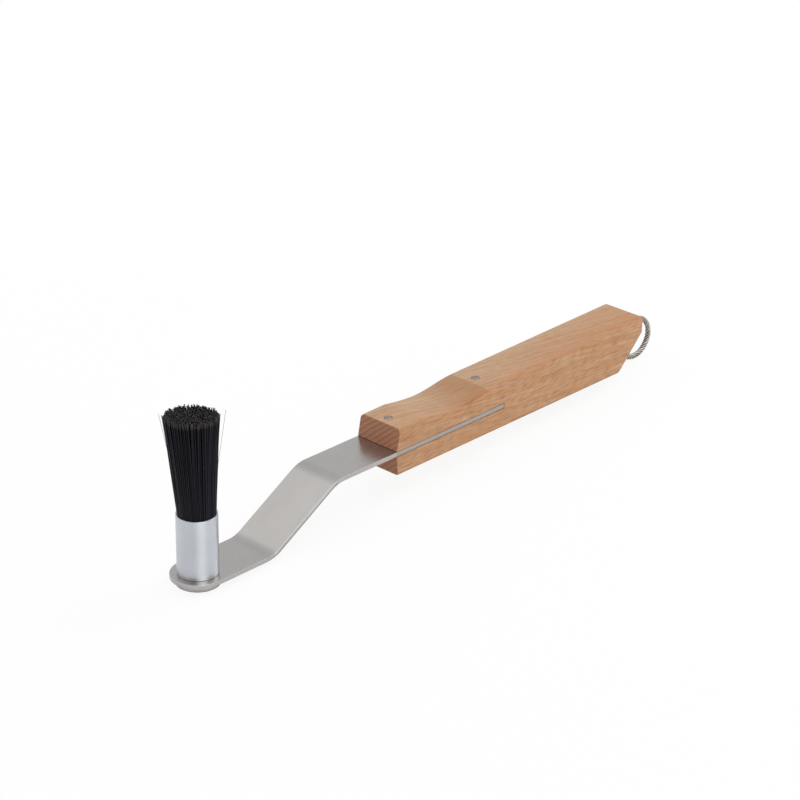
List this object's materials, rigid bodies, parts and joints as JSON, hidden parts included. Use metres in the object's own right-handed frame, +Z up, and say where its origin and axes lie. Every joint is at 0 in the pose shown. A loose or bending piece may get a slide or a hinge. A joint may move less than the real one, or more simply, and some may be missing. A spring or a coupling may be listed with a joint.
{
  "type": "portafilter brush",
  "caption": "Portafilter brush: beech handle with thumb scoop and wire hanging loop, cranked flat steel strip, and an upright round black bristle head in an aluminium ferrule.",
  "frame": {"origin": "bottom centre of the tool: midway along its whole length, in its middle plane, level with the underside of the screw head below the brush head", "axes": "+X along the tool from the brush head to the hanging loop, +Y across the width, +Z up along the bristles"},
  "size_m": [0.2567, 0.02, 0.065],
  "materials": {
    "beech": "oiled, satin",
    "stainless_strip": "fine brushed",
    "pin_metal": "sanded flush",
    "satin_aluminium": "satin",
    "plated_steel": "bright plated",
    "resin": "cast",
    "black_nylon": "semi-gloss filament",
    "wire_rope": "stranded wire"
  },
  "bodies": {
    "root": {"handle": "beech", "blade_strip": "stainless_strip", "front_handle_pin": "pin_metal", "rear_handle_pin": "pin_metal", "ferrule": "satin_aluminium", "head_screw": "plated_steel", "ferrule_nut": "plated_steel", "resin_plug": "resin", "bristle_tuft": "black_nylon", "hanging_loop": "wire_rope", "loop_sleeve": "satin_aluminium"}
  },
  "joints": []
}
